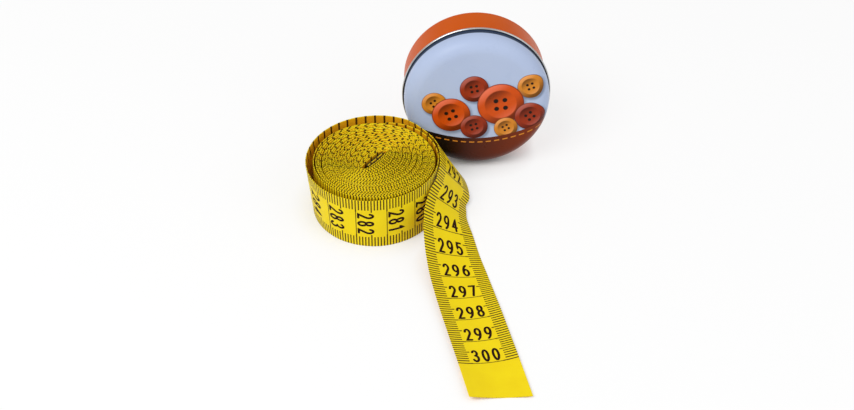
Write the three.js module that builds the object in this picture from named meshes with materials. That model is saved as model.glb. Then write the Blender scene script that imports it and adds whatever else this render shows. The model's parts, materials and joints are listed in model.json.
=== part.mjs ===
// Cloth tape measure, rolled up and standing on its edge, with its round slip-lid tin on its side behind it.
// Millimetres, +Z up. The free end of the tape lies out towards -Y, and the lid of the tin faces -Y.
// The origin is on the table, at the middle of the set's footprint.
import * as THREE from 'three';

const { degToRad } = THREE.MathUtils;

// Tape: a woven ribbon with a thin coating
const TAPE_WIDTH = 19;
const TAPE_THICKNESS = 0.38;
const TAPE_CUP = 1.3; // hollow across the width where the tape lies flat

// Roll: a spiral wound clockwise round the end clip, oval inside and round outside
const ROLL_RADIUS = 20;
const ROLL_TURN_GAP = 0.45; // least clear space from turn to turn
const ROLL_OVAL = 5.1; // extra half length of the innermost turn, along the clip
const ROLL_FIRST_RISE = 1.6; // distance from the clip to the first turn
const ROLL_STEPS_PER_TURN = 24;
const ROLL_AXIS = new THREE.Vector2(-0.1, -1.55); // the roll lies to one side of the loop

// Loop: the loose last turn round the roll
const LOOP_SLACK = 2; // from the roll's edge to the middle of the loop's tape
const LOOP_RADIUS = ROLL_RADIUS + LOOP_SLACK;
const LOOP_OVAL = 0.9;
const LOOP_LONG_AXIS = degToRad(70);
const LOOP_START = degToRad(80); // where it peels off the roll, under its own end
const LOOP_END = degToRad(60 - 360); // where it turns off towards the free end
const LOOP_PEEL = degToRad(140); // travel over which it leaves the roll
const LOOP_FLARE = degToRad(5); // lean of the upper edge away from the roll
const LOOP_FLARE_SIDE = degToRad(185);
const LOOP_STEPS = 52;
const SEAT_GAP = 0.3; // clear space where one piece rests against another

// Free end, from the loop to the cut end: plan points of the tape's middle, with x counted from the loop's
// side, the height of its lowest edge above the table, and its twist from upright in degrees
const FREE_END = [
  [-6.45, 17.3, 1.2, 16],
  [2.1, 10.1, 2.6, 30],
  [4.3, -0.3, 1.4, 32],
  [2.05, -10.8, 0, 38],
  [1.55, -20.1, 0, 57],
  [2.65, -29.4, 0, 71],
  [4.65, -38.7, 0, 80],
  [6.75, -48.1, 0, 84],
  [8.95, -57.7, 0, 86],
  [11.15, -67.4, 0, 86],
  [13.25, -77.2, 0, 86],
  [16.6, -92.65, 0, 86],
];
const FREE_END_STEPS = 44;
const FREE_END_STRIPS = 4; // flat strips that make up the hollow
const CUT_SKEW = 2.6; // from square, over the width of the tape

// End clip: sheet metal folded over the inner end of the tape
const CLIP_SHEET = 0.3;
const CLIP_SLOT_GAP = 0.15;
const CLIP_BACK = 3.7; // from the roll's axis to the fold
const CLIP_FRONT = 5.2; // from the roll's axis to the open edge
const CLIP_EDGE_INSET = 0.25; // from the tape's edge to the end of the clip
const CLIP_DIRECTION = degToRad(53.5);

// Tin: drawn cup with a slip lid, lying on its side. Heights along its axis start at the lid's curled edge.
const TIN_SHEET = 0.3;
const TIN_BASE_RADIUS = 23.7;
const TIN_BASE_DEPTH = 13.2; // from the curl back to the bottom
const TIN_BASE_CORNER = 1.2;
const TIN_OVERLAP = 3.4; // length of the base's wall inside the lid
const TIN_SLIP_GAP = 0.2;
const LID_HEIGHT = 7.9; // from the curl to the edge of the face
const LID_CORNER = 5;
const LID_CROWN = 0.6; // rise of the face at its middle
const CURL_RADIUS = 0.46;
const LID_INSIDE = TIN_BASE_RADIUS + TIN_SLIP_GAP;
const LID_RADIUS = LID_INSIDE + TIN_SHEET;
const CURL_CENTRE = LID_INSIDE + CURL_RADIUS;
const TIN_BEARING = degToRad(50); // where the tin stands close to the loop
const TIN_SIDE_STEP = 4.98; // from the tin's side to that point of the loop
const TIN_FACE_GAP = 2.5; // from that point of the loop back to the lid's face
const TIN_YAW = degToRad(2.3);
const ROUND_SEGMENTS = 64;

const tapeCloth = new THREE.MeshStandardMaterial({ color: 0xe8d21c, roughness: 0.7, metalness: 0 });
const clipSteel = new THREE.MeshStandardMaterial({ color: 0xa9a9a4, roughness: 0.35, metalness: 1 });
const orangeLacquer = new THREE.MeshStandardMaterial({ color: 0xcf5a0c, roughness: 0.35, metalness: 0.2 });
const paleLacquer = new THREE.MeshStandardMaterial({ color: 0xb4c2df, roughness: 0.25, metalness: 0.2 });

// A closed solid swept along stations. Each station is one ring of points round the section,
// first along the outer face and then back along the inner face.
function sweptRibbon(rings) {
  const size = rings[0].length;
  const positions = rings.flat().flatMap((point) => point.toArray());
  const indices = [];
  for (let i = 0; i + 1 < rings.length; i += 1) {
    for (let j = 0; j < size; j += 1) {
      const a = i * size + j;
      const b = i * size + ((j + 1) % size);
      indices.push(a, a + size, b, b, a + size, b + size);
    }
  }
  const last = (rings.length - 1) * size;
  for (let j = 0; j + 1 < size / 2; j += 1) {
    const k = size - 1 - j;
    indices.push(j, k - 1, k, j, j + 1, k - 1);
    indices.push(last + j, last + k, last + k - 1, last + j, last + k - 1, last + j + 1);
  }
  const geometry = new THREE.BufferGeometry();
  geometry.setAttribute('position', new THREE.Float32BufferAttribute(positions, 3));
  geometry.setIndex(indices);
  geometry.computeVertexNormals();
  return geometry;
}

// One ring of the tape's section: middle of the tape, direction along it, twist from upright
function tapeRing(middle, along, twist, strips) {
  const upright = new THREE.Vector3(0, 0, 1);
  const side = new THREE.Vector3().crossVectors(along, upright).normalize();
  const level = new THREE.Vector3().crossVectors(side, along).normalize();
  const across = level.multiplyScalar(Math.cos(twist)).addScaledVector(side, Math.sin(twist));
  const outward = new THREE.Vector3().crossVectors(across, along);
  const cup = cupDepth(twist);
  const face = (offset) => Array.from({ length: strips + 1 }, (_, j) => {
    const share = 1 - (2 * j) / strips;
    return middle.clone()
      .addScaledVector(across, (share * TAPE_WIDTH) / 2)
      .addScaledVector(outward, cup * share ** 2 + offset);
  });
  return [...face(TAPE_THICKNESS / 2), ...face(-TAPE_THICKNESS / 2).reverse()];
}

function ringsAlong(middles, twists, strips) {
  return middles.map((middle, i) => {
    const before = middles[Math.max(i - 1, 0)];
    const after = middles[Math.min(i + 1, middles.length - 1)];
    return tapeRing(middle, new THREE.Vector3().subVectors(after, before).normalize(), twists[i], strips);
  });
}

// A ring let down or lifted until its lowest point is at a given height
function atHeight(ring, height) {
  const lowest = Math.min(...ring.map((point) => point.z));
  return ring.map((point) => point.setZ(point.z - lowest + height));
}

function cupDepth(twist) {
  return TAPE_CUP * Math.sin(twist) ** 2 * Math.abs(Math.sin(twist));
}

// Least clear space between stretches of a ribbon that aren't neighbours along it
function leastGap(rings, neighbours) {
  let least = Infinity;
  for (let i = 0; i < rings.length; i += 1) {
    for (let k = i + neighbours; k < rings.length; k += 1) {
      for (const p of rings[i]) {
        for (const q of rings[k]) least = Math.min(least, p.distanceTo(q));
      }
    }
  }
  return least;
}

// Distance from the loop's centre to the edge of the roll, in a given direction
function rollEdge(angle) {
  const towards = ROLL_AXIS.x * Math.cos(angle) + ROLL_AXIS.y * Math.sin(angle);
  return towards + Math.sqrt(ROLL_RADIUS ** 2 - ROLL_AXIS.lengthSq() + towards ** 2);
}

function loopOval(angle) {
  return LOOP_RADIUS + LOOP_OVAL * Math.cos(2 * (angle - LOOP_LONG_AXIS));
}

function loopLean(angle) {
  return -LOOP_FLARE * Math.max(0, Math.cos(angle - LOOP_FLARE_SIDE));
}

// Middle of the spiral at a given winding angle, in plan, with the clip along X
function spiralPoint(winding, pitch) {
  const outer = ROLL_RADIUS - TAPE_THICKNESS / 2;
  const lead = Math.max(0, 1 + Math.min(winding, 0) / (Math.PI / 2));
  const radius = ROLL_FIRST_RISE * lead ** 6 + (pitch * Math.max(winding, 0)) / (2 * Math.PI);
  const long = radius + ROLL_OVAL * (1 - radius / outer);
  return new THREE.Vector2(long * Math.cos(winding), -radius * Math.sin(winding));
}

function buildTapeRoll() {
  const outer = ROLL_RADIUS - TAPE_THICKNESS / 2;
  const pitch = (TAPE_THICKNESS + ROLL_TURN_GAP) / (1 - ROLL_OVAL / outer);
  const last = (2 * Math.PI * (outer - ROLL_FIRST_RISE)) / pitch;
  const start = -Math.PI / 2;
  const steps = Math.round(((last - start) / (2 * Math.PI)) * ROLL_STEPS_PER_TURN);
  const tapeEnd = new THREE.Vector2(-(CLIP_BACK - CLIP_SHEET - CLIP_SLOT_GAP), 0);
  const plan = [tapeEnd];
  for (let i = 0; i <= steps; i += 1) plan.push(spiralPoint(start + ((last - start) * i) / steps, pitch));
  const middles = plan.map((point) => {
    point.rotateAround(new THREE.Vector2(), CLIP_DIRECTION);
    return new THREE.Vector3(ROLL_AXIS.x + point.x, ROLL_AXIS.y + point.y, TAPE_WIDTH / 2);
  });
  const rings = ringsAlong(middles, middles.map(() => 0), 1);
  const gap = leastGap(rings, ROLL_STEPS_PER_TURN / 2);
  console.log(`tape_roll: least gap to itself ${gap.toFixed(2)} mm`);
  return new THREE.Mesh(sweptRibbon(rings), tapeCloth);
}

// The cut end isn't quite square to the tape
function skewCut(rings) {
  const [before, cut] = rings.slice(-2);
  const last = cut.length - 1;
  cut.forEach((point, j) => {
    const share = 1 - (2 * Math.min(j, last - j)) / FREE_END_STRIPS;
    const along = new THREE.Vector3().subVectors(point, before[j]).normalize();
    point.addScaledVector(along, (-share * CUT_SKEW) / 2);
  });
}

function buildTapeFreeEnd() {
  const path = [];
  const loopSpan = LOOP_START - LOOP_END;
  const startTuck = loopOval(LOOP_START) - rollEdge(LOOP_START) - SEAT_GAP - TAPE_THICKNESS / 2;
  for (let i = 0; i <= LOOP_STEPS; i += 1) {
    const travel = (loopSpan * i) / LOOP_STEPS;
    const angle = LOOP_START - travel;
    const held = Math.max(0, 1 - travel / LOOP_PEEL);
    const radius = loopOval(angle) - startTuck * held ** 2;
    path.push({ x: radius * Math.cos(angle), y: radius * Math.sin(angle), lift: 0, twist: loopLean(angle) });
  }
  const stations = FREE_END.map(([step, y, lift, turn]) => (
    { x: LOOP_RADIUS + step, y, lift, twist: degToRad(turn) }
  ));
  const tail = [path.at(-2), path.at(-1), ...stations];
  const route = new THREE.CatmullRomCurve3(tail.map(({ x, y, lift }) => new THREE.Vector3(x, y, lift)));
  const turning = new THREE.CatmullRomCurve3(tail.map(({ twist }) => new THREE.Vector3(twist, 0, 0)));
  const firstShare = 1 / (tail.length - 1);
  for (let i = 1; i <= FREE_END_STEPS; i += 1) {
    const share = firstShare + ((1 - firstShare) * i) / FREE_END_STEPS;
    const point = route.getPoint(share);
    path.push({ x: point.x, y: point.y, lift: Math.max(point.z, 0), twist: turning.getPoint(share).x });
  }
  const twists = path.map((p) => p.twist);
  const middles = path.map(({ x, y, lift, twist }) => {
    const edgeDrop = (TAPE_WIDTH / 2) * Math.cos(twist) - cupDepth(twist) * Math.sin(twist);
    const rest = (TAPE_THICKNESS / 2) * Math.abs(Math.sin(twist));
    return new THREE.Vector3(x, y, lift + Math.max(edgeDrop, 0) + rest);
  });
  const rings = ringsAlong(middles, twists, FREE_END_STRIPS).map((ring, i) => atHeight(ring, path[i].lift));
  skewCut(rings);
  const gap = leastGap(rings, LOOP_STEPS / 2);
  console.log(`tape_free_end: least gap to itself ${gap.toFixed(2)} mm`);
  return new THREE.Mesh(sweptRibbon(rings), tapeCloth);
}

function buildEndClip() {
  const inner = TAPE_THICKNESS / 2 + CLIP_SLOT_GAP;
  const outer = inner + CLIP_SHEET;
  const fold = new THREE.Shape();
  fold.moveTo(CLIP_FRONT, inner);
  fold.lineTo(CLIP_FRONT, outer);
  fold.lineTo(outer - CLIP_BACK, outer);
  fold.absarc(outer - CLIP_BACK, 0, outer, Math.PI / 2, (3 * Math.PI) / 2, false);
  fold.lineTo(CLIP_FRONT, -outer);
  fold.lineTo(CLIP_FRONT, -inner);
  fold.lineTo(outer - CLIP_BACK, -inner);
  fold.absarc(outer - CLIP_BACK, 0, inner, (3 * Math.PI) / 2, Math.PI / 2, true);
  fold.closePath();
  const depth = TAPE_WIDTH - 2 * CLIP_EDGE_INSET;
  const clip = new THREE.Mesh(
    new THREE.ExtrudeGeometry(fold, { depth, bevelEnabled: false, curveSegments: 6 }),
    clipSteel,
  );
  clip.position.set(ROLL_AXIS.x, ROLL_AXIS.y, CLIP_EDGE_INSET);
  clip.rotation.z = CLIP_DIRECTION;
  return clip;
}

function arcPoints(centreX, centreY, radius, from, to, steps) {
  return Array.from({ length: steps + 1 }, (_, i) => {
    const angle = from + ((to - from) * i) / steps;
    return new THREE.Vector2(centreX + radius * Math.cos(angle), centreY + radius * Math.sin(angle));
  });
}

function buildTinBase() {
  const inside = TIN_BASE_RADIUS - TIN_SHEET;
  const cornerX = TIN_BASE_RADIUS - TIN_BASE_CORNER;
  const cornerY = TIN_BASE_CORNER - TIN_BASE_DEPTH;
  const profile = [
    new THREE.Vector2(0, -TIN_BASE_DEPTH),
    ...arcPoints(cornerX, cornerY, TIN_BASE_CORNER, -Math.PI / 2, 0, 4),
    new THREE.Vector2(TIN_BASE_RADIUS, TIN_OVERLAP),
    new THREE.Vector2(inside, TIN_OVERLAP),
    ...arcPoints(cornerX, cornerY, TIN_BASE_CORNER - TIN_SHEET, 0, -Math.PI / 2, 4),
    new THREE.Vector2(0, TIN_SHEET - TIN_BASE_DEPTH),
  ];
  return new THREE.Mesh(new THREE.LatheGeometry(profile, ROUND_SEGMENTS), orangeLacquer);
}

// Face of the lid from the axis out to the corner, crowned in the middle
function lidFace(radius, height) {
  const steps = 5;
  return Array.from({ length: steps }, (_, i) => {
    const share = i / steps;
    return new THREE.Vector2(radius * share, height + (LID_CROWN * (1 + Math.cos(Math.PI * share))) / 2);
  });
}

function buildTinLid() {
  const cornerX = LID_RADIUS - LID_CORNER;
  const cornerY = LID_HEIGHT - LID_CORNER;
  const curlTop = Math.acos((LID_RADIUS - CURL_CENTRE) / CURL_RADIUS);
  const profile = [
    ...lidFace(cornerX, LID_HEIGHT - TIN_SHEET),
    ...arcPoints(cornerX, cornerY, LID_CORNER - TIN_SHEET, Math.PI / 2, 0, 6),
    ...arcPoints(CURL_CENTRE, 0, CURL_RADIUS, Math.PI, 2 * Math.PI + curlTop, 9),
    ...arcPoints(cornerX, cornerY, LID_CORNER, 0, Math.PI / 2, 6),
    ...lidFace(cornerX, LID_HEIGHT).reverse(),
  ];
  return new THREE.Mesh(new THREE.LatheGeometry(profile, ROUND_SEGMENTS), paleLacquer);
}

// The tin rests on its curl and on the rounded edge of its bottom, so it leans back a little.
function buildTin() {
  const reach = TIN_BASE_DEPTH - TIN_BASE_CORNER;
  const drop = CURL_CENTRE - (TIN_BASE_RADIUS - TIN_BASE_CORNER);
  const lean = Math.atan2(drop, reach) + Math.asin((CURL_RADIUS - TIN_BASE_CORNER) / Math.hypot(reach, drop));
  const base = buildTinBase();
  base.name = 'tin_base';
  const lid = buildTinLid();
  lid.name = 'tin_lid';
  const tin = new THREE.Group();
  tin.add(base, lid);
  tin.rotation.set(Math.PI - lean, 0, TIN_YAW, 'ZYX');
  tin.position.set(
    LOOP_RADIUS * Math.cos(TIN_BEARING) + CURL_CENTRE - TIN_SIDE_STEP,
    LOOP_RADIUS * Math.sin(TIN_BEARING) + LID_HEIGHT + TIN_FACE_GAP,
    CURL_CENTRE * Math.cos(lean) + CURL_RADIUS,
  );
  return tin;
}

function buildTape() {
  const roll = buildTapeRoll();
  roll.name = 'tape_roll';
  const freeEnd = buildTapeFreeEnd();
  freeEnd.name = 'tape_free_end';
  const clip = buildEndClip();
  clip.name = 'end_clip';
  return new THREE.Group().add(roll, freeEnd, clip);
}

const tapeMeasure = new THREE.Group().add(buildTape(), buildTin());
tapeMeasure.updateMatrixWorld(true);
const footprint = new THREE.Box3().setFromObject(tapeMeasure, true);
const middle = footprint.getCenter(new THREE.Vector3());
tapeMeasure.position.set(-middle.x, -middle.y, -footprint.min.z);
console.log(`roll axis at ${(ROLL_AXIS.x - middle.x).toFixed(3)}, ${(ROLL_AXIS.y - middle.y).toFixed(3)}`);

export default tapeMeasure;
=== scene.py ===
import json
import math

import bmesh
import bpy
from mathutils import Matrix, Vector


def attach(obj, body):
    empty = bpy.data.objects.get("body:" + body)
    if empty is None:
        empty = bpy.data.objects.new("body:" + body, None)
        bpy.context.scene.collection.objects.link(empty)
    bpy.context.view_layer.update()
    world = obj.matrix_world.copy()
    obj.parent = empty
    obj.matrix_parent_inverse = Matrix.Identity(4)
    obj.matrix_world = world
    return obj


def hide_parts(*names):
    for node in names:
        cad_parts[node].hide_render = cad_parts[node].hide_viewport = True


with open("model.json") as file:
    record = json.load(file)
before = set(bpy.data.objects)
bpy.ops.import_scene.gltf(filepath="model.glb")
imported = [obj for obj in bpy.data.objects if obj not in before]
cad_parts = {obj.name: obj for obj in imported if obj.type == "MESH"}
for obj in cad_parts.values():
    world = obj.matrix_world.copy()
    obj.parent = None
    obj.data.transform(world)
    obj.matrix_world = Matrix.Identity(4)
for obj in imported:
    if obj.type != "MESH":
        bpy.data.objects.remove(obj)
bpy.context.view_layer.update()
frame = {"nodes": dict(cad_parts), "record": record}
record = frame["record"]

# The wound part of the tape: a woven ribbon, coated and printed on both faces, rolled up on its
# edge from the clip at its inner end outwards. The turns lie close, a few of them looser than the
# rest.
MM = 0.001
TAPE_WIDTH = 19.0
TAPE_THICKNESS = 0.29
TAPE_EDGE_STRIP = 0.3
ROLL_RADIUS = 20.0
ROLL_FIRST_RISE = 1.3
ROLL_OVAL = 5.1
ROLL_SQUEEZE = 0.1
ROLL_FLAT_SHARE = 0.3
ROLL_FLAT_TURNS = 8
ROLL_LEAD_POWER = 8
ROLL_EDGE_RISE = 0.24
ROLL_EDGE_WAVE = 0.2
ROLL_TURNS = 36.926
ROLL_STEPS_PER_TURN = 64
CLIP_DIRECTION = math.radians(53.5)
TAPE_END_IN_CLIP = -3.25
ROLL_OUTER_MARK = 275.2
# Places where the winding is slack: turn, gap in millimetres, and the side where it opens, in
# degrees
LOOSE_TURNS = [
    (2.0, 0.20, 0),
    (4.2, 0.26, -10),
    (6.9, 0.30, -10),
    (9.2, 0.26, -15),
    (11.8, 0.30, -10),
    (14.6, 0.28, -5),
    (18.0, 0.30, -10),
    (22.1, 0.30, -5),
    (26.5, 0.24, 5),
    (31.8, 0.40, 205),
    (35.6, 0.42, 185),
]

turn_joint = next(joint for joint in record["behaviour"]["joints"] if joint["name"] == "roll_turn")
roll_axis = Vector(turn_joint["pos_m"][:2]) / MM


def smooth_rise(share):
    share = min(max(share, 0.0), 1.0)
    return share * share * (3 - 2 * share)


def tape_section(strips):
    """Points round the tape's cut end, as (across, outward): the outer face from its top edge down,
    the lower rounded rim, the inner face back up, and the upper rim."""
    rounding = TAPE_THICKNESS / 2
    corner = TAPE_WIDTH / 2 - rounding
    seam = corner - TAPE_EDGE_STRIP
    face = [corner] + [seam - 2 * seam * i / strips for i in range(strips + 1)] + [-corner]
    rim = [
        (corner + rounding * math.cos(turn), rounding * math.sin(turn))
        for turn in (-math.pi / 4, 0, math.pi / 4)
    ]
    lower_rim = [(-across, -outward) for across, outward in rim]
    outer = [(across, rounding) for across in face]
    inner = [(across, -rounding) for across in reversed(face)]
    return outer + lower_rim + inner + rim


def tape_directions(middles, twists):
    """Direction across the tape and out of its printed face, at each point of its middle line."""
    upright = Vector((0, 0, 1))
    directions = []
    for i, twist in enumerate(twists):
        along = (middles[min(i + 1, len(middles) - 1)] - middles[max(i - 1, 0)]).normalized()
        side = along.cross(upright).normalized()
        level = side.cross(along).normalized()
        across = level * math.cos(twist) + side * math.sin(twist)
        directions.append((across, across.cross(along)))
    return directions


def pick(thing):
    bpy.ops.object.select_all(action="DESELECT")
    thing.select_set(True)
    bpy.context.view_layer.objects.active = thing


def face_outwards(mesh):
    shell = bmesh.new()
    shell.from_mesh(mesh)
    bmesh.ops.recalc_face_normals(shell, faces=shell.faces)
    shell.to_mesh(mesh)
    shell.free()


def tape_object(name, rings, section, marks, finishes):
    """A ribbon through the rings, with the printed scale's own coordinates kept on its points:
    centimetres along the tape and millimetres down from its top edge."""
    size = len(section)
    points = [point * MM for ring in rings for point in ring]
    faces = []
    for i in range(len(rings) - 1):
        for j in range(size):
            k = (j + 1) % size
            faces.append((i * size + j, (i + 1) * size + j, (i + 1) * size + k, i * size + k))
    faces.append(tuple(range(size)))
    faces.append(tuple(range(len(points) - 1, len(points) - 1 - size, -1)))
    mesh = bpy.data.meshes.new(name)
    mesh.from_pydata(points, [], faces)
    scale = mesh.attributes.new("scale", "FLOAT_VECTOR", "POINT")
    values = []
    for mark in marks:
        for across, _ in section:
            values += [mark, TAPE_WIDTH / 2 - across, 0.0]
    scale.data.foreach_set("vector", values)
    for finish in finishes:
        mesh.materials.append(finish)
    for face in mesh.polygons:
        j = face.index % size
        outward = section[j][1] + section[(j + 1) % size][1]
        on_rim = outward > -0.95 * TAPE_THICKNESS
        face.material_index = 0 if outward > 0 else (2 if on_rim else 1)
    tape = bpy.data.objects.new(name, mesh)
    bpy.context.scene.collection.objects.link(tape)
    face_outwards(mesh)
    pick(tape)
    bpy.ops.object.shade_smooth_by_angle(angle=math.radians(60))
    return tape


def new_finish(name):
    material = bpy.data.materials.new(name)
    material.use_nodes = True
    return material, material.node_tree, material.node_tree.nodes["Principled BSDF"]


def calc(tree, operation, first, second=None, third=None):
    """The result of one Math node on sockets or plain numbers."""
    node = tree.nodes.new("ShaderNodeMath")
    node.operation = operation
    for socket, value in zip(node.inputs, (first, second, third)):
        if isinstance(value, bpy.types.NodeSocket):
            tree.links.new(value, socket)
        elif value is not None:
            socket.default_value = value
    return node.outputs[0]


def mix_colours(tree, share, first, second):
    """Two colours mixed by a share. Each is a socket or three numbers."""
    node = tree.nodes.new("ShaderNodeMix")
    node.data_type = "RGBA"
    sockets = (node.inputs[0], node.inputs[6], node.inputs[7])
    for socket, value in zip(sockets, (share, first, second)):
        if isinstance(value, bpy.types.NodeSocket):
            tree.links.new(value, socket)
        elif isinstance(value, (int, float)):
            socket.default_value = value
        else:
            socket.default_value = (*value, 1)
    return node.outputs[2]


def own_place(tree):
    """The piece's own Object coordinates."""
    return tree.nodes.new("ShaderNodeTexCoord").outputs["Object"]


def mottle(tree, place, scale, detail=2):
    """Soft spots from 0 to 1, finer with a larger scale."""
    node = tree.nodes.new("ShaderNodeTexNoise")
    node.inputs["Scale"].default_value = scale
    node.inputs["Detail"].default_value = detail
    tree.links.new(place, node.inputs["Vector"])
    return node.outputs["Fac"]


def distance_to_step(tree, position, step):
    """How far a position is from the nearest whole step."""
    shifted = calc(tree, "ADD", calc(tree, "DIVIDE", position, step), 0.5)
    part = calc(tree, "FRACT", shifted)
    return calc(tree, "MULTIPLY", calc(tree, "ABSOLUTE", calc(tree, "SUBTRACT", part, 0.5)), step)


TAPE_YELLOW = (0.88, 0.70, 0.006)
TAPE_DEEP_YELLOW = (0.80, 0.58, 0.005)
TAPE_BACK = (0.90, 0.47, 0.010)
TAPE_BACK_DEEP = (0.82, 0.38, 0.008)
TAPE_INK = (0.030, 0.008, 0.003)
INCH = 25.4
TICK_LENGTH = 3.9
SCALE_END = 3000.2
WARP_PITCH = 0.42
WEFT_PITCH = 0.38


def tape_finish(name, cloths, step, half_width, long_step, long_tick, line_step, line_half_width):
    """Coated yellow cloth with a dark printed scale: ticks at both edges and thin lines across,
    each with its step along the tape and half of its width in millimetres."""
    material, tree, surface = new_finish(name)
    scale = tree.nodes.new("ShaderNodeAttribute")
    scale.attribute_name = "scale"
    parts = tree.nodes.new("ShaderNodeSeparateXYZ")
    tree.links.new(scale.outputs["Vector"], parts.inputs[0])
    along = calc(tree, "MULTIPLY", parts.outputs[0], 10.0)
    down = parts.outputs[1]
    edge = calc(tree, "MINIMUM", down, calc(tree, "SUBTRACT", TAPE_WIDTH, down))
    is_long = calc(tree, "LESS_THAN", distance_to_step(tree, along, long_step), half_width * 1.2)
    length = calc(tree, "MULTIPLY_ADD", is_long, long_tick - TICK_LENGTH, TICK_LENGTH)
    is_tick = calc(tree, "LESS_THAN", distance_to_step(tree, along, step), half_width)
    ticks = calc(tree, "MULTIPLY", is_tick, calc(tree, "LESS_THAN", edge, length))
    lines = calc(tree, "LESS_THAN", distance_to_step(tree, along, line_step), line_half_width)
    printed = calc(tree, "LESS_THAN", along, SCALE_END)
    ink = calc(tree, "MULTIPLY", calc(tree, "MAXIMUM", ticks, lines), printed)

    wear = mottle(tree, own_place(tree), 170, 4)
    cloth = mix_colours(tree, wear, *cloths)
    colour = mix_colours(tree, calc(tree, "MULTIPLY", ink, 0.95), cloth, TAPE_INK)
    tree.links.new(colour, surface.inputs["Base Color"])
    rough = calc(tree, "MULTIPLY_ADD", wear, 0.16, 0.40)
    tree.links.new(rough, surface.inputs["Roughness"])
    surface.inputs["Specular IOR Level"].default_value = 0.12

    warp = calc(tree, "SINE", calc(tree, "MULTIPLY", along, 2 * math.pi / WARP_PITCH))
    weft = calc(tree, "SINE", calc(tree, "MULTIPLY", down, 2 * math.pi / WEFT_PITCH))
    weave = calc(tree, "MULTIPLY", warp, weft)
    height = calc(tree, "ADD", weave, calc(tree, "MULTIPLY", ink, 0.6))
    bump = tree.nodes.new("ShaderNodeBump")
    bump.inputs["Strength"].default_value = 0.25
    bump.inputs["Distance"].default_value = 0.00002
    tree.links.new(height, bump.inputs["Height"])
    tree.links.new(bump.outputs["Normal"], surface.inputs["Normal"])
    return material


centimetre_print = tape_finish(
    "centimetre_print",
    (TAPE_YELLOW, TAPE_DEEP_YELLOW),
    step=1.0,
    half_width=0.21,
    long_step=5.0,
    long_tick=4.8,
    line_step=10.0,
    line_half_width=0.14,
)
inch_print = tape_finish(
    "inch_print",
    (TAPE_BACK, TAPE_BACK_DEEP),
    step=INCH / 8,
    half_width=0.34,
    long_step=INCH / 2,
    long_tick=5.2,
    line_step=INCH,
    line_half_width=0.16,
)
inch_edge = tape_finish(
    "inch_edge",
    (TAPE_YELLOW, TAPE_DEEP_YELLOW),
    step=INCH / 8,
    half_width=0.42,
    long_step=INCH / 2,
    long_tick=5.2,
    line_step=INCH,
    line_half_width=0.42,
)
tape_finishes = (centimetre_print, inch_print, inch_edge)


def wound_point(winding):
    """Middle of the tape at a given winding angle, in plan, with the clip along X."""
    outer = ROLL_RADIUS - TAPE_THICKNESS / 2
    lead = max(0.0, 1 + min(winding, 0.0) / (math.pi / 2))
    turns = max(winding, 0.0) / (2 * math.pi)
    share = turns / ROLL_TURNS
    heading = CLIP_DIRECTION - winding
    radius = ROLL_FIRST_RISE * lead**ROLL_LEAD_POWER + (outer - ROLL_FIRST_RISE) * share
    long = radius + ROLL_OVAL * (1 - radius / outer)
    slack = ROLL_SQUEEZE * math.cos(2 * heading) * share**2
    for turn, gap, side in LOOSE_TURNS:
        opening = (0.5 + 0.5 * math.cos(heading - math.radians(side))) ** 3
        slack += gap * opening * (smooth_rise(turns - turn) - share)
    # The inner turns lie flat along the clip's sides
    flatness = 1 - ROLL_FLAT_SHARE * max(0.0, 1 - turns / ROLL_FLAT_TURNS)
    side_part = math.copysign(abs(math.sin(winding)) ** flatness, math.sin(winding))
    return Vector(((long + slack) * math.cos(winding), -(radius + slack) * side_part, 0))


first_winding = -math.pi / 2
last_winding = 2 * math.pi * ROLL_TURNS
winding_steps = round((last_winding - first_winding) / (2 * math.pi) * ROLL_STEPS_PER_TURN)
to_clip = Matrix.Rotation(CLIP_DIRECTION, 3, "Z")
wound_plan = [Vector((TAPE_END_IN_CLIP, 0, 0))]
wound_rises = [0.1]
for i in range(winding_steps + 1):
    winding = first_winding + (last_winding - first_winding) * i / winding_steps
    wound_plan.append(wound_point(winding))
    wave = math.sin(0.43 * winding + 1.7 * math.sin(0.171 * winding))
    settled = smooth_rise((last_winding - winding) / math.pi)
    wound_rises.append((ROLL_EDGE_RISE + ROLL_EDGE_WAVE * wave) * settled)
wound_plan = [
    to_clip @ point + Vector((roll_axis.x, roll_axis.y, TAPE_WIDTH / 2)) for point in wound_plan
]
wound_directions = tape_directions(wound_plan, [0.0] * len(wound_plan))
wound_middles = [point + Vector((0, 0, rise)) for point, rise in zip(wound_plan, wound_rises)]
wound_lengths = [0.0]
for before, after in zip(wound_middles, wound_middles[1:]):
    wound_lengths.append(wound_lengths[-1] + (after - before).length)
wound_marks = [ROLL_OUTER_MARK - (wound_lengths[-1] - length) / 10 for length in wound_lengths]
wound_section = tape_section(1)
wound_rings = [
    [middle + across * part + outward * offset for part, offset in wound_section]
    for middle, (across, outward) in zip(wound_middles, wound_directions)
]
tape_wound = tape_object("tape_wound", wound_rings, wound_section, wound_marks, tape_finishes)
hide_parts("tape_roll")
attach(tape_wound, "roll")

# The end clip: a strip of sheet metal folded over the inner end of the tape and pressed flat on it.
# It is very dark steel, darker in random spots, and its cut edge shows in the middle of the roll.
CLIP_STEEL = (0.055, 0.052, 0.05)
CLIP_STEEL_DULL = (0.022, 0.021, 0.02)
clip_steel, clip_tree, clip_surface = new_finish("clip_steel")
clip_grain = mottle(clip_tree, own_place(clip_tree), 900, 3)
clip_colour = mix_colours(clip_tree, clip_grain, CLIP_STEEL, CLIP_STEEL_DULL)
clip_tree.links.new(clip_colour, clip_surface.inputs["Base Color"])
clip_rough = calc(clip_tree, "MULTIPLY_ADD", clip_grain, 0.25, 0.22)
clip_tree.links.new(clip_rough, clip_surface.inputs["Roughness"])
clip_surface.inputs["Metallic"].default_value = 1.0
end_clip = frame["nodes"]["end_clip"]
end_clip.data.materials.clear()
end_clip.data.materials.append(clip_steel)

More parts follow.
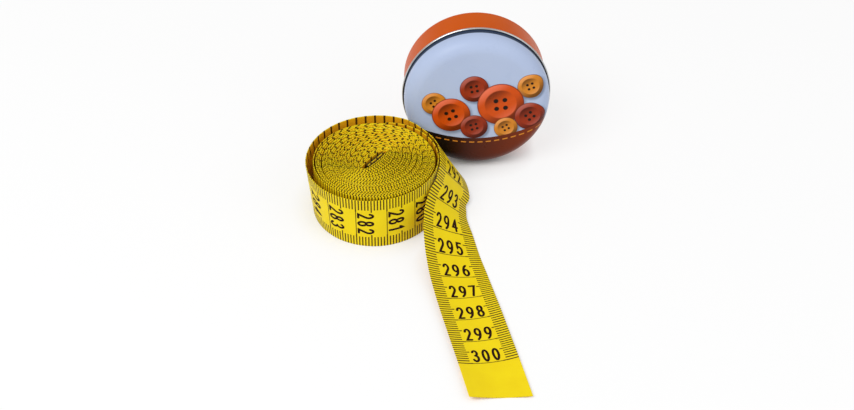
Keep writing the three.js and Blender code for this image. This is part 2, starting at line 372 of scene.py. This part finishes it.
# The loose outer turn and the free end of the same tape: it springs open round the roll, leaves it
# at the back, rolls over from its edge on to its face and lies out on the table up to its cut end.
LOOP_RADIUS = 22.0
LOOP_OVAL = 0.7
LOOP_LONG_AXIS = math.radians(70)
LOOP_START = math.radians(80)
LOOP_END = math.radians(60 - 360)
LOOP_PEEL = math.radians(140)
LOOP_FLARE = math.radians(6)
LOOP_FLARE_SIDE = math.radians(185)
LOOP_SEAT_GAP = 0.3
LOOP_STEPS = 260
ROLL_FROM_LOOP = Vector((-0.1, -1.55))
TAPE_CUP = 1.3
FREE_END_STEPS = 308
FREE_END_EASING = 16
CUT_BOW = 0.7
CUT_BOW_FROM = 300.5
CUT_BOW_RUN = 1.1
# The free end from mark to mark of its scale, up to the cut: number on the scale, across, along,
# lift, twist in degrees, and how far the upper edge runs ahead of the lower one
FREE_END_MARKS = [
    (290.06, 15.9, 16.9, 0.89, 10.8, 0.8),
    (291, 23.97, 9.28, 2.67, 27.9, -0.5),
    (292, 25.88, -1.4, 2.46, 30.4, 3.8),
    (292.5, 24.84, -6.22, 1.16, 24, 5.5),
    (293, 23.5, -11.0, 0.94, 36.2, 1.4),
    (293.5, 23.15, -15.74, 0.7, 49.9, -1.2),
    (294, 23.42, -20.18, 0.38, 59.8, -1.1),
    (295, 24.74, -29.81, 0, 70.7, -0.9),
    (296, 26.65, -38.7, 0, 80, -1.5),
    (297, 28.75, -48.1, 0, 84, 0.0),
    (298, 30.95, -57.7, 0, 86, 0.2),
    (299, 33.15, -67.6, 0, 86, 0.0),
    (300, 35.25, -77.0, 0, 86, 0.0),
    (301.6, 38.6, -92.65, 0, 86, -2.6),
]
loop_centre = roll_axis - ROLL_FROM_LOOP


def loop_oval(angle):
    return LOOP_RADIUS + LOOP_OVAL * math.cos(2 * (angle - LOOP_LONG_AXIS))


def roll_edge(angle):
    """Distance from the loop's centre to the edge of the roll."""
    towards = ROLL_FROM_LOOP.x * math.cos(angle) + ROLL_FROM_LOOP.y * math.sin(angle)
    return towards + math.sqrt(ROLL_RADIUS**2 - ROLL_FROM_LOOP.length_squared + towards**2)


def loop_station(travel):
    """Place, lift and twist of the tape on the loose turn, after so much of the way round."""
    angle = LOOP_START - travel
    tuck = loop_oval(LOOP_START) - roll_edge(LOOP_START) - LOOP_SEAT_GAP - TAPE_THICKNESS / 2
    radius = loop_oval(angle) - tuck * max(0.0, 1 - travel / LOOP_PEEL) ** 2
    lean = -LOOP_FLARE * max(0.0, math.cos(angle - LOOP_FLARE_SIDE))
    return Vector((radius * math.cos(angle), radius * math.sin(angle), 0, lean))


def between_marks(points, position):
    """Point of a smooth curve through the points, at a position counted in points."""
    i = min(int(position), len(points) - 2)
    share = position - i
    p1, p2 = points[i], points[i + 1]
    p0 = points[i - 1] if i > 0 else 2 * p1 - p2
    p3 = points[i + 2] if i + 2 < len(points) else 2 * p2 - p1
    pairs = ((p0, p1), (p1, p2), (p2, p3))
    d0, d1, d2 = (max(math.sqrt((q - p).length), 1e-4) for p, q in pairs)
    t1 = ((p1 - p0) / d0 - (p2 - p0) / (d0 + d1) + (p2 - p1) / d1) * d1
    t2 = ((p2 - p1) / d1 - (p3 - p1) / (d1 + d2) + (p3 - p2) / d2) * d1
    bend = -3 * p1 + 3 * p2 - 2 * t1 - t2
    turn = 2 * p1 - 2 * p2 + t1 + t2
    return p1 + t1 * share + bend * share**2 + turn * share**3


def eased(values):
    """The same values, each drawn a little towards its neighbours."""
    inner = [(values[i - 1] + 2 * values[i] + values[i + 1]) / 4 for i in range(1, len(values) - 1)]
    return [values[0]] + inner + [values[-1]]


def number_at(position):
    """Number on the scale at a position counted in rows of the list of marks."""
    row = min(int(position), len(FREE_END_MARKS) - 2)
    before, after = FREE_END_MARKS[row][0], FREE_END_MARKS[row + 1][0]
    return before + (after - before) * (position - row)


loop_span = LOOP_START - LOOP_END
stations = [loop_station(loop_span * i / LOOP_STEPS) for i in range(LOOP_STEPS + 1)]
# The free end sets out in the direction of the turn's last steps
tail = [stations[-6], stations[-1]]
tail += [Vector((x, y, lift, math.radians(twist))) for _, x, y, lift, twist, _ in FREE_END_MARKS]
tail_places = [station.xyz for station in tail]
tail_twists = [Vector((station.w, 0, 0)) for station in tail]
tail_slants = [Vector((0, 0, 0)), Vector((0, 0, 0))]
tail_slants += [Vector((marks[5], 0, 0)) for marks in FREE_END_MARKS]
numbers = [0.0] * len(stations)
slants = [0.0] * len(stations)
for i in range(1, FREE_END_STEPS + 1):
    position = 1 + (len(tail) - 2) * i / FREE_END_STEPS
    place = between_marks(tail_places, position)
    twist = between_marks(tail_twists, position).x
    stations.append(Vector((place.x, place.y, max(place.z, 0.0), twist)))
    numbers.append(number_at(position - 2) if position >= 2 else 0.0)
    slants.append(between_marks(tail_slants, position).x)
for _ in range(FREE_END_EASING):
    stations, slants = eased(stations), eased(slants)


def cup_depth(twist):
    return TAPE_CUP * abs(math.sin(twist)) ** 3


loose_middles = []
for station in stations:
    twist = station.w
    drop = TAPE_WIDTH / 2 * math.cos(twist) - cup_depth(twist) * math.sin(twist)
    height = station.z + max(drop, 0.0) + TAPE_THICKNESS / 2 * abs(math.sin(twist))
    loose_middles.append(Vector((loop_centre.x + station.x, loop_centre.y + station.y, height)))
loose_directions = tape_directions(loose_middles, [station.w for station in stations])
loose_section = tape_section(14)


def loose_point(index, part, offset):
    """A point of the loose tape: so far across it and out of its face."""
    across, outward = loose_directions[index]
    along = outward.cross(across)
    cup = cup_depth(stations[index].w) * (2 * part / TAPE_WIDTH) ** 2
    slant = slants[index] * part / TAPE_WIDTH
    near_cut = smooth_rise((numbers[index] - CUT_BOW_FROM) / CUT_BOW_RUN)
    hollow = CUT_BOW * near_cut * (1 - (2 * part / TAPE_WIDTH) ** 2)
    return loose_middles[index] + across * part + along * (slant - hollow) + outward * (cup + offset)


loose_rings = []
for i, station in enumerate(stations):
    ring = [loose_point(i, part, offset) for part, offset in loose_section]
    settle = Vector((0, 0, station.z - min(point.z for point in ring)))
    loose_middles[i] = loose_middles[i] + settle
    loose_rings.append([point + settle for point in ring])

loose_lengths = [0.0]
for before, after in zip(loose_middles, loose_middles[1:]):
    loose_lengths.append(loose_lengths[-1] + (after - before).length)
first_mark_at = next(i for i, number in enumerate(numbers) if number)
loose_marks = numbers[:]
for i in range(first_mark_at):
    to_first_mark = loose_lengths[first_mark_at] - loose_lengths[i]
    loose_marks[i] = numbers[first_mark_at] - to_first_mark / 10
tape_loose_end = tape_object(
    "tape_loose_end", loose_rings, loose_section, loose_marks, tape_finishes
)
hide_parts("tape_free_end")
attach(tape_loose_end, "free_end_and_lid")

# The numbers of the centimetre scale, printed in dark ink on the outer face: each stands just
# before its line, upright towards the smaller numbers, in a plain rounded stroke.
FIRST_NUMBER = 279
LAST_NUMBER = 300
NUMBER_HEIGHT = 4.7
NUMBER_WIDTH = 1.55
NUMBER_PITCH = 3.2
NUMBER_STROKE = 0.78
STROKE_STEP = 0.45
STROKE_MITRE = 0.6
STROKE_END_TURNS = (35, 65, 85)
NUMBER_FOOT = 0.8
INK_RISE = 0.02
INK_ROOT = 0.06
INK_DARK = (0.012, 0.004, 0.003)


def bow(x, y, wide, high, start, end):
    """An arc of a digit, from one angle to another."""
    steps = max(6, round(abs(end - start) / 15))
    turns = [math.radians(start + (end - start) * i / steps) for i in range(steps + 1)]
    return [(x + wide * math.cos(turn), y + high * math.sin(turn)) for turn in turns]


six = [
    bow(0.5, 0.3, 0.5, 0.3, 180, 540),
    [(0, 0.3), (0.03, 0.47), (0.13, 0.65), (0.32, 0.84), (0.7, 1)],
]
DIGITS = {
    "0": [bow(0.5, 0.5, 0.5, 0.5, 90, 450)],
    "1": [[(0.12, 0.76), (0.55, 1), (0.55, 0)]],
    "2": [bow(0.5, 0.72, 0.48, 0.28, 165, -40) + [(0.04, 0), (1, 0)]],
    "3": [
        bow(0.46, 0.755, 0.44, 0.245, 155, -90),
        bow(0.46, 0.255, 0.52, 0.255, 90, -155),
    ],
    "4": [[(0.72, 0), (0.72, 1), (0, 0.3), (1, 0.3)]],
    "5": [[(0.92, 1), (0.16, 1), (0.08, 0.52)] + bow(0.46, 0.33, 0.52, 0.33, 135, -155)],
    "6": six,
    "7": [[(0, 1), (1, 1), (0.36, 0)]],
    "8": [bow(0.5, 0.76, 0.42, 0.24, 90, 450), bow(0.5, 0.26, 0.5, 0.26, 90, 450)],
    "9": [[(1 - x, 1 - y) for x, y in line] for line in six],
}


def close_points(line, longest):
    """The same line with more points, none of them far from the next."""
    points = [line[0]]
    for before, after in zip(line, line[1:]):
        steps = max(1, math.ceil((after - before).length / longest))
        points += [before.lerp(after, i / steps) for i in range(1, steps + 1)]
    return points


def tape_surface(mark, down, rise):
    """Point on the tape's outer face at a mark of the scale, so far down from its top edge."""
    index = next(i for i, value in enumerate(loose_marks) if value > mark) - 1
    share = (mark - loose_marks[index]) / (loose_marks[index + 1] - loose_marks[index])
    part = TAPE_WIDTH / 2 - down
    ends = [loose_point(i, part, TAPE_THICKNESS / 2 + rise) for i in (index, index + 1)]
    return ends[0].lerp(ends[1], share)


number_points = []
number_faces = []


def lay_stroke(line, mark, left):
    """One stroke of a digit as a thin band of ink, rounded at its ends."""
    ends_meet = (line[0] - line[-1]).length < 0.01
    line = close_points(line, STROKE_STEP)
    bands = []
    for i, point in enumerate(line):
        before = line[i - 1] if i > 0 else (line[-2] if ends_meet else point)
        after = line[i + 1] if i + 1 < len(line) else (line[1] if ends_meet else point)
        leaving = (after - point).normalized()
        arriving = (point - before).normalized() if point != before else leaving
        leaving = leaving if after != point else arriving
        along = (arriving + leaving).normalized()
        mitre = 1 / max(STROKE_MITRE, along.dot(leaving))
        bands.append((point, Vector((-along.y, along.x)) * mitre, 1.0))
    if not ends_meet:
        for place, sign in ((0, -1), (-1, 1)):
            point, normal, _ = bands[place]
            along = Vector((normal.y, -normal.x)) * sign
            for turn in STROKE_END_TURNS:
                reach = along * (NUMBER_STROKE / 2 * math.sin(math.radians(turn)))
                end = (point + reach, normal, math.cos(math.radians(turn)))
                bands.insert(0 if sign < 0 else len(bands), end)
    start = len(number_points)
    for point, normal, share in bands:
        for side, rise in ((1, INK_RISE), (-1, INK_RISE), (-1, -INK_ROOT), (1, -INK_ROOT)):
            place = point + normal * (side * share * NUMBER_STROKE / 2)
            height = NUMBER_FOOT + place.y
            number_points.append(tape_surface(mark - height / 10, left + place.x, rise) * MM)
    for i in range(len(bands) - 1):
        for j in range(4):
            k = (j + 1) % 4
            a = start + 4 * i
            number_faces.append((a + j, a + 4 + j, a + 4 + k, a + k))
    last = start + 4 * (len(bands) - 1)
    number_faces.append((start, start + 1, start + 2, start + 3))
    number_faces.append((last + 3, last + 2, last + 1, last))


for number in range(FIRST_NUMBER, LAST_NUMBER + 1):
    label = str(number)
    width = NUMBER_PITCH * (len(label) - 1) + NUMBER_WIDTH
    for i, digit in enumerate(label):
        left = (TAPE_WIDTH - width) / 2 + NUMBER_PITCH * i
        for line in DIGITS[digit]:
            stroke = [Vector((x * NUMBER_WIDTH, y * NUMBER_HEIGHT)) for x, y in line]
            lay_stroke(stroke, number, left)
number_mesh = bpy.data.meshes.new("scale_numbers")
number_mesh.from_pydata(number_points, [], number_faces)
scale_numbers = bpy.data.objects.new("scale_numbers", number_mesh)
bpy.context.scene.collection.objects.link(scale_numbers)
face_outwards(number_mesh)
number_ink, ink_tree, ink_surface = new_finish("number_ink")
ink_spread = mottle(ink_tree, own_place(ink_tree), 1200)
ink_colour = mix_colours(ink_tree, ink_spread, TAPE_INK, INK_DARK)
ink_tree.links.new(ink_colour, ink_surface.inputs["Base Color"])
ink_surface.inputs["Roughness"].default_value = 0.6
ink_surface.inputs["Specular IOR Level"].default_value = 0.08
number_mesh.materials.append(number_ink)
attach(scale_numbers, "free_end_and_lid")

# The tin's base: a shallow cup drawn from thin steel sheet, lacquered glossy orange outside and
# bare inside. It lies on its side, a little tilted, with its mouth pushed into the lid.
TIN_SHEET = 0.3
TIN_BASE_RADIUS = 23.7
TIN_BASE_DEPTH = 13.2
TIN_BASE_CORNER = 1.2
TIN_OVERLAP = 3.4
TIN_SEGMENTS = 160
LACQUER_ORANGE = (0.64, 0.104, 0.0015)
LACQUER_DEEP = (0.54, 0.074, 0.001)
TIN_PLATE = (0.66, 0.66, 0.65)
TIN_PLATE_DULL = (0.48, 0.48, 0.49)

tin_mount = next(mount for mount in record["mounts"] if mount["name"] == "tin_bottom")
tin_front = -Vector(tin_mount["axis"])
tin_right = Vector((-tin_front.y, tin_front.x, 0)).normalized()
tin_up = tin_front.cross(tin_right)
tin_centre = Vector(tin_mount["pos_m"]) + tin_front * (TIN_BASE_DEPTH * MM)
tin_turn = Matrix((tin_right, tin_up, tin_front)).transposed()
tin_place = Matrix.Translation(tin_centre) @ tin_turn.to_4x4()


def arc_steps(x, y, radius, start, end, steps):
    turns = [math.radians(start + (end - start) * i / steps) for i in range(steps + 1)]
    return [(x + radius * math.cos(turn), y + radius * math.sin(turn)) for turn in turns]


def drawn_sheet(name, outline):
    """A round of thin sheet: a disc whose edge is drawn outwards and down step by step, as (radius,
    height) in millimetres."""
    bpy.ops.object.select_all(action="DESELECT")
    radius, height = outline[0]
    bpy.ops.mesh.primitive_circle_add(
        vertices=TIN_SEGMENTS, radius=radius * MM, fill_type="NGON", location=(0, 0, height * MM)
    )
    sheet = bpy.context.object
    sheet.name = name
    sheet.data.name = name
    bpy.ops.object.transform_apply(location=True, rotation=True, scale=True)
    bpy.ops.object.mode_set(mode="EDIT")
    bpy.ops.mesh.select_mode(type="EDGE")
    bpy.ops.mesh.select_all(action="DESELECT")
    bpy.ops.mesh.select_non_manifold()
    for next_radius, next_height in outline[1:]:
        rise = (next_height - height) * MM
        grow = next_radius / radius
        bpy.ops.mesh.extrude_edges_move(TRANSFORM_OT_translate={"value": (0, 0, rise)})
        bpy.ops.transform.resize(value=(grow, grow, 1))
        radius, height = next_radius, next_height
    bpy.ops.mesh.select_all(action="SELECT")
    bpy.ops.mesh.normals_make_consistent(inside=False)
    bpy.ops.object.mode_set(mode="OBJECT")
    return sheet


def thicken_and_place(sheet, offset):
    """Gives the sheet its thickness and moves its mesh to where the tin lies."""
    pick(sheet)
    wall = sheet.modifiers.new("wall", "SOLIDIFY")
    wall.thickness = TIN_SHEET * MM
    wall.offset = offset
    wall.use_even_offset = True
    wall.material_offset = 1
    wall.material_offset_rim = 1
    bpy.ops.object.modifier_apply(modifier="wall")
    bpy.ops.object.shade_smooth_by_angle(angle=math.radians(40))
    sheet.matrix_world = tin_place
    bpy.ops.object.transform_apply(location=True, rotation=True, scale=True)


def tin_coordinates(tree):
    """Coordinates of the tin itself: right, up in the plane of the lid, and out of its face."""
    local = tree.nodes.new("ShaderNodeMapping")
    local.vector_type = "TEXTURE"
    local.inputs["Location"].default_value = tin_centre
    local.inputs["Rotation"].default_value = tin_turn.to_euler("XYZ")
    tree.links.new(own_place(tree), local.inputs["Vector"])
    return local.outputs["Vector"]


orange_lacquer, lacquer_tree, lacquer_surface = new_finish("orange_lacquer")
lacquer_local = tin_coordinates(lacquer_tree)
lacquer_flow = mottle(lacquer_tree, lacquer_local, 60, 3)
lacquer_colour = mix_colours(lacquer_tree, lacquer_flow, LACQUER_ORANGE, LACQUER_DEEP)
lacquer_tree.links.new(lacquer_colour, lacquer_surface.inputs["Base Color"])
lacquer_peel = mottle(lacquer_tree, lacquer_local, 1100)
lacquer_bump = lacquer_tree.nodes.new("ShaderNodeBump")
lacquer_bump.inputs["Strength"].default_value = 0.06
lacquer_bump.inputs["Distance"].default_value = 0.00005
lacquer_tree.links.new(lacquer_peel, lacquer_bump.inputs["Height"])
lacquer_tree.links.new(lacquer_bump.outputs["Normal"], lacquer_surface.inputs["Normal"])
lacquer_rough = calc(lacquer_tree, "MULTIPLY_ADD", lacquer_flow, 0.12, 0.26)
lacquer_tree.links.new(lacquer_rough, lacquer_surface.inputs["Roughness"])
lacquer_surface.inputs["Specular IOR Level"].default_value = 0.05

tin_plate, plate_tree, plate_surface = new_finish("tin_plate")
plate_grain = mottle(plate_tree, tin_coordinates(plate_tree), 420, 5)
plate_colour = mix_colours(plate_tree, plate_grain, TIN_PLATE, TIN_PLATE_DULL)
plate_tree.links.new(plate_colour, plate_surface.inputs["Base Color"])
plate_rough = calc(plate_tree, "MULTIPLY_ADD", plate_grain, 0.2, 0.2)
plate_tree.links.new(plate_rough, plate_surface.inputs["Roughness"])
plate_surface.inputs["Metallic"].default_value = 1.0

base_corner = TIN_BASE_RADIUS - TIN_BASE_CORNER
base_outline = arc_steps(base_corner, TIN_BASE_CORNER - TIN_BASE_DEPTH, TIN_BASE_CORNER, -90, 0, 8)
base_outline += [(TIN_BASE_RADIUS, 0), (TIN_BASE_RADIUS, TIN_OVERLAP)]
tin_cup = drawn_sheet("tin_cup", base_outline)
tin_cup.data.materials.append(orange_lacquer)
tin_cup.data.materials.append(tin_plate)
thicken_and_place(tin_cup, -1)
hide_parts("tin_base")
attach(tin_cup, "base")

# The tin's lid: drawn from the same sheet with a wide rounded edge and a slightly crowned face, its
# open edge curled outwards. The face is printed on a pale ground under clear lacquer; the curl is
# bare. Its straight wall next to the curl carries a dark navy band of painted shade and reflection.
LID_HEIGHT = 7.9
LID_CORNER = 5.0
LID_CROWN = 0.6
LID_FACE_STEPS = 12
LID_SLIP_GAP = 0.2
LID_BARE_EDGE = 1.1
# The band of painted shade on the lid's wall is full up to one height and gone by the other, in
# millimetres
LID_WALL_SHADE_TOP = 2.4
LID_WALL_SHADE_FULL = 2.1
CURL_RADIUS = 0.46
LID_INSIDE = TIN_BASE_RADIUS + LID_SLIP_GAP
CURL_CENTRE = LID_INSIDE + CURL_RADIUS
LID_GROUND = (0.38, 0.46, 0.66)
LID_GROUND_PALE = (0.47, 0.55, 0.73)
# Dark navy: the printed buttons' shadows, and the painted shade and reflection on the lid's wall
LID_SHADE_NAVY = (0.026, 0.042, 0.080)
LID_BAND_DARK = (0.010, 0.005, 0.003)
LID_BAND_BRICK = (0.19, 0.027, 0.004)
LID_AMBER = (0.62, 0.22, 0.02)
LID_BAND_TOP = -12.8
LID_BAND_CURVE = 12.0
STITCH_DEPTH = 1.6
STITCH_HALF_WIDTH = 0.22
STITCHES_PER_METRE = 360.0
STITCH_SHARE = 0.62
BUTTON_ORANGE = (0.60, 0.075, 0.004)
BUTTON_BRICK = (0.30, 0.030, 0.006)
# Buttons of the printed pattern, each laid over the ones before it: right, up and radius in
# millimetres, turn of its holes in degrees, and colour
LID_BUTTONS = [
    (17.4, 6.6, 4.4, 20, LID_AMBER),
    (-14.4, 1.0, 4.2, 35, LID_AMBER),
    (-1.2, 6.4, 4.8, 10, BUTTON_BRICK),
    (-8.8, -3.4, 6.4, 25, BUTTON_ORANGE),
    (7.6, 0.2, 7.8, 5, BUTTON_ORANGE),
    (17.4, -4.8, 5.2, 40, BUTTON_BRICK),
    (-1.2, -8.2, 4.6, 15, BUTTON_BRICK),
    (9.4, -9.0, 4.0, 30, LID_AMBER),
]

lid_print_and_shade, lid_tree, lid_surface = new_finish("lid_print_and_shade")
lid_local = tin_coordinates(lid_tree)
lid_parts = lid_tree.nodes.new("ShaderNodeSeparateXYZ")
lid_tree.links.new(lid_local, lid_parts.inputs[0])
lid_right, lid_up = lid_parts.outputs[0], lid_parts.outputs[1]
lid_flat = lid_tree.nodes.new("ShaderNodeCombineXYZ")
lid_tree.links.new(lid_right, lid_flat.inputs[0])
lid_tree.links.new(lid_up, lid_flat.inputs[1])
lid_cloud = mottle(lid_tree, lid_flat.outputs[0], 45)
lid_colour = mix_colours(lid_tree, lid_cloud, LID_GROUND, LID_GROUND_PALE)


def soft_step(tree, value, start, end):
    """Rises smoothly from 0 at the start to 1 at the end, or falls if the end comes first."""
    node = tree.nodes.new("ShaderNodeMapRange")
    node.interpolation_type = "SMOOTHSTEP"
    tree.links.new(value, node.inputs["Value"])
    low, high = min(start, end), max(start, end)
    node.inputs["From Min"].default_value = low
    node.inputs["From Max"].default_value = high
    node.inputs["To Min"].default_value = 0.0 if start < end else 1.0
    node.inputs["To Max"].default_value = 1.0 if start < end else 0.0
    return node.outputs["Result"]


def lid_offset(tree, right, up, turn, radius):
    """Place on the lid seen from a point on it, turned, in shares of a radius."""
    local = tree.nodes.new("ShaderNodeMapping")
    local.vector_type = "TEXTURE"
    local.inputs["Location"].default_value = (right * MM, up * MM, 0)
    local.inputs["Rotation"].default_value = (0, 0, math.radians(turn))
    local.inputs["Scale"].default_value = (radius * MM, radius * MM, radius * MM)
    tree.links.new(lid_flat.outputs[0], local.inputs["Vector"])
    return local.outputs["Vector"]


def vector_calc(tree, operation, first, second=None):
    node = tree.nodes.new("ShaderNodeVectorMath")
    node.operation = operation
    tree.links.new(first, node.inputs[0])
    if second is not None:
        node.inputs[1].default_value = second
    return node.outputs["Value" if operation in ("LENGTH", "DISTANCE", "DOT_PRODUCT") else "Vector"]


def button_layer(tree, under, right, up, radius, turn, colour):
    """One printed button over what lies under it: its shadow, a raised rim, a dished middle and
    four holes."""
    shadow_share = vector_calc(tree, "LENGTH", lid_offset(tree, right + 0.5, up - 0.7, 0, radius))
    shadow = calc(tree, "MULTIPLY", soft_step(tree, shadow_share, 1.16, 0.9), 0.55)
    under = mix_colours(tree, shadow, under, LID_SHADE_NAVY)
    plain = lid_offset(tree, right, up, 0, radius)
    share = vector_calc(tree, "LENGTH", plain)
    light = vector_calc(tree, "DOT_PRODUCT", plain, (-0.55, 0.83, 0))
    dark = tuple(part * 0.25 for part in colour)
    pale = tuple(min(1.0, part * 1.25 + 0.10) for part in colour)
    rim = mix_colours(tree, soft_step(tree, light, -0.9, 0.2), dark, colour)
    rim_glint = calc(tree, "MULTIPLY", soft_step(tree, light, 0.35, 0.95), 0.8)
    rim = mix_colours(tree, rim_glint, rim, pale)
    dish = mix_colours(tree, soft_step(tree, light, 0.75, -0.1), dark, colour)
    dish_glint = calc(tree, "MULTIPLY", soft_step(tree, light, -0.2, -0.75), 0.45)
    dish = mix_colours(tree, dish_glint, dish, pale)
    face = mix_colours(tree, soft_step(tree, share, 0.64, 0.72), dish, rim)
    folded = vector_calc(tree, "ABSOLUTE", lid_offset(tree, right, up, turn, radius))
    hole = vector_calc(tree, "DISTANCE", folded, (0.19, 0.19, 0))
    face = mix_colours(tree, soft_step(tree, hole, 0.125, 0.085), face, LID_BAND_DARK)
    face = mix_colours(tree, soft_step(tree, share, 0.93, 1.0), face, dark)
    return mix_colours(tree, soft_step(tree, share, 1.012, 0.988), under, face)


for right, up, radius, turn, colour in LID_BUTTONS:
    lid_colour = button_layer(lid_tree, lid_colour, right, up, radius, turn, colour)

right_squared = calc(lid_tree, "MULTIPLY", lid_right, lid_right)
band_curve = calc(lid_tree, "MULTIPLY", right_squared, LID_BAND_CURVE)
band_top = calc(lid_tree, "ADD", band_curve, LID_BAND_TOP * MM)
below_band = calc(lid_tree, "SUBTRACT", band_top, lid_up)
band_share = calc(lid_tree, "MULTIPLY_ADD", lid_right, 34.0, 0.36)
band_colour = mix_colours(lid_tree, band_share, LID_BAND_DARK, LID_BAND_BRICK)
from_stitches = calc(lid_tree, "SUBTRACT", below_band, STITCH_DEPTH * MM)
from_stitches = calc(lid_tree, "ABSOLUTE", from_stitches)
stitch_line = calc(lid_tree, "LESS_THAN", from_stitches, STITCH_HALF_WIDTH * MM)
stitch_place = calc(lid_tree, "FRACT", calc(lid_tree, "MULTIPLY", lid_right, STITCHES_PER_METRE))
on_stitch = calc(lid_tree, "LESS_THAN", stitch_place, STITCH_SHARE)
stitches = calc(lid_tree, "MULTIPLY", stitch_line, on_stitch)
band_colour = mix_colours(lid_tree, stitches, band_colour, LID_AMBER)
in_band = calc(lid_tree, "GREATER_THAN", below_band, 0.0)
lid_colour = mix_colours(lid_tree, in_band, lid_colour, band_colour)
# Painted shade and reflection: a dark navy band on the lid's straight wall just inside the curl
painted_wall_shade = soft_step(lid_tree, lid_parts.outputs[2], LID_WALL_SHADE_TOP * MM, LID_WALL_SHADE_FULL * MM)
lid_colour = mix_colours(lid_tree, painted_wall_shade, lid_colour, LID_SHADE_NAVY)
lid_tree.links.new(lid_colour, lid_surface.inputs["Base Color"])
lid_smear = mottle(lid_tree, lid_local, 260, 4)
lid_rough = calc(lid_tree, "MULTIPLY_ADD", lid_smear, 0.14, 0.22)
lid_tree.links.new(lid_rough, lid_surface.inputs["Roughness"])
lid_surface.inputs["Specular IOR Level"].default_value = 0.13

lid_inner_corner = LID_INSIDE + TIN_SHEET - LID_CORNER
lid_face = []
for i in range(1, LID_FACE_STEPS):
    share = i / LID_FACE_STEPS
    crown = LID_CROWN * (1 + math.cos(math.pi * share)) / 2
    lid_face.append((lid_inner_corner * share, LID_HEIGHT - TIN_SHEET + crown))
lid_outline = lid_face + arc_steps(
    lid_inner_corner, LID_HEIGHT - LID_CORNER, LID_CORNER - TIN_SHEET, 90, 0, 14
)
lid_outline += arc_steps(CURL_CENTRE, 0, CURL_RADIUS, 180, 430, 20)
tin_cover = drawn_sheet("tin_cover", lid_outline)
for finish in (tin_plate, lid_print_and_shade):
    tin_cover.data.materials.append(finish)
wall_face = next(
    face for face in tin_cover.data.polygons
    if abs(face.normal.z) < 0.05 and abs(face.center.to_2d().length - LID_INSIDE * MM) < 0.0001
)
outwards = wall_face.normal.dot(wall_face.center) > 0
thicken_and_place(tin_cover, 1 if outwards else -1)
from_tin = tin_place.inverted()
for face in tin_cover.data.polygons:
    if (from_tin @ face.center).z < LID_BARE_EDGE * MM:
        face.material_index = 0
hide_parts("tin_lid")
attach(tin_cover, "free_end_and_lid")

# The table and the studio: a white table top under an even white room, one large soft lamp at the
# upper left and a weak one at the right, and the camera in front, looking down at the set.
TABLE_DROP = 0.03
TABLE_GLOW = 0.72
TABLE_GAP_REACH = 8.0
TABLE_GAP_POWER = 1.5
ROOM_STRENGTH = 0.55
CAMERA_LENS = 87.0
CAMERA_FROM_LOOP = (16.95, -528.5)
CAMERA_HEIGHT = 433.2
CAMERA_TILT = math.radians(50.575)
CAMERA_TURN = math.radians(-0.216)
bpy.ops.object.select_all(action="DESELECT")
bpy.ops.mesh.primitive_plane_add(size=6, location=(0, 0, -TABLE_DROP * MM))
table_top = bpy.context.object
table_top.name = "table_top"
table_white, table_tree, table_surface = new_finish("table_white")
table_surface.inputs["Base Color"].default_value = (0.92, 0.92, 0.92, 1)
table_surface.inputs["Roughness"].default_value = 0.9
table_surface.inputs["Specular IOR Level"].default_value = 0.1
table_glow = table_tree.nodes.new("ShaderNodeEmission")
table_rays = table_tree.nodes.new("ShaderNodeLightPath")
seen = calc(
    table_tree, "MAXIMUM", table_rays.outputs["Is Camera Ray"], table_rays.outputs["Is Glossy Ray"]
)
seen = calc(table_tree, "MAXIMUM", seen, table_rays.outputs["Is Transmission Ray"])
table_mix = table_tree.nodes.new("ShaderNodeMixShader")
table_gaps = table_tree.nodes.new("ShaderNodeAmbientOcclusion")
table_gaps.samples = 16
table_gaps.inputs["Distance"].default_value = TABLE_GAP_REACH * MM
open_share = calc(table_tree, "POWER", table_gaps.outputs["AO"], TABLE_GAP_POWER)
glow_share = calc(table_tree, "MULTIPLY", open_share, TABLE_GLOW)
table_tree.links.new(calc(table_tree, "MULTIPLY", seen, glow_share), table_mix.inputs[0])
table_tree.links.new(table_surface.outputs[0], table_mix.inputs[1])
table_tree.links.new(table_glow.outputs[0], table_mix.inputs[2])
table_tree.links.new(table_mix.outputs[0], table_tree.nodes["Material Output"].inputs["Surface"])
table_top.data.materials.append(table_white)

room = bpy.data.worlds.new("room")
room.use_nodes = True
bpy.context.scene.world = room
room_light = room.node_tree.nodes["Background"]
room_rays = room.node_tree.nodes.new("ShaderNodeLightPath")
room_light.inputs["Color"].default_value = (1, 1, 1, 1)
seen_room = room_rays.outputs["Is Camera Ray"]
room_strength = calc(room.node_tree, "MULTIPLY_ADD", seen_room, 1 - ROOM_STRENGTH, ROOM_STRENGTH)
room.node_tree.links.new(room_strength, room_light.inputs["Strength"])


def soft_lamp(name, place, size, power):
    lamp = bpy.data.lights.new(name, "AREA")
    lamp.shape = "DISK"
    lamp.size = size
    lamp.energy = power
    lamp_object = bpy.data.objects.new(name, lamp)
    lamp_object.location = place
    lamp_object.rotation_euler = (-Vector(place)).to_track_quat("-Z", "Y").to_euler()
    bpy.context.scene.collection.objects.link(lamp_object)


soft_lamp("key_lamp", (-0.45, -0.45, 0.85), 0.7, 6.5)
soft_lamp("fill_lamp", (0.7, -0.35, 0.6), 0.8, 1.6)

camera = bpy.data.cameras.new("camera")
camera.lens = CAMERA_LENS
camera.sensor_width = 36
camera.clip_start = 0.01
camera_object = bpy.data.objects.new("camera", camera)
camera_plan = loop_centre + Vector(CAMERA_FROM_LOOP)
camera_object.location = Vector((camera_plan.x, camera_plan.y, CAMERA_HEIGHT)) * MM
camera_object.rotation_mode = "ZYX"
camera_object.rotation_euler = (CAMERA_TILT, 0, CAMERA_TURN)
bpy.context.scene.collection.objects.link(camera_object)
bpy.context.scene.camera = camera_object
bpy.context.scene.view_settings.view_transform = "Standard"
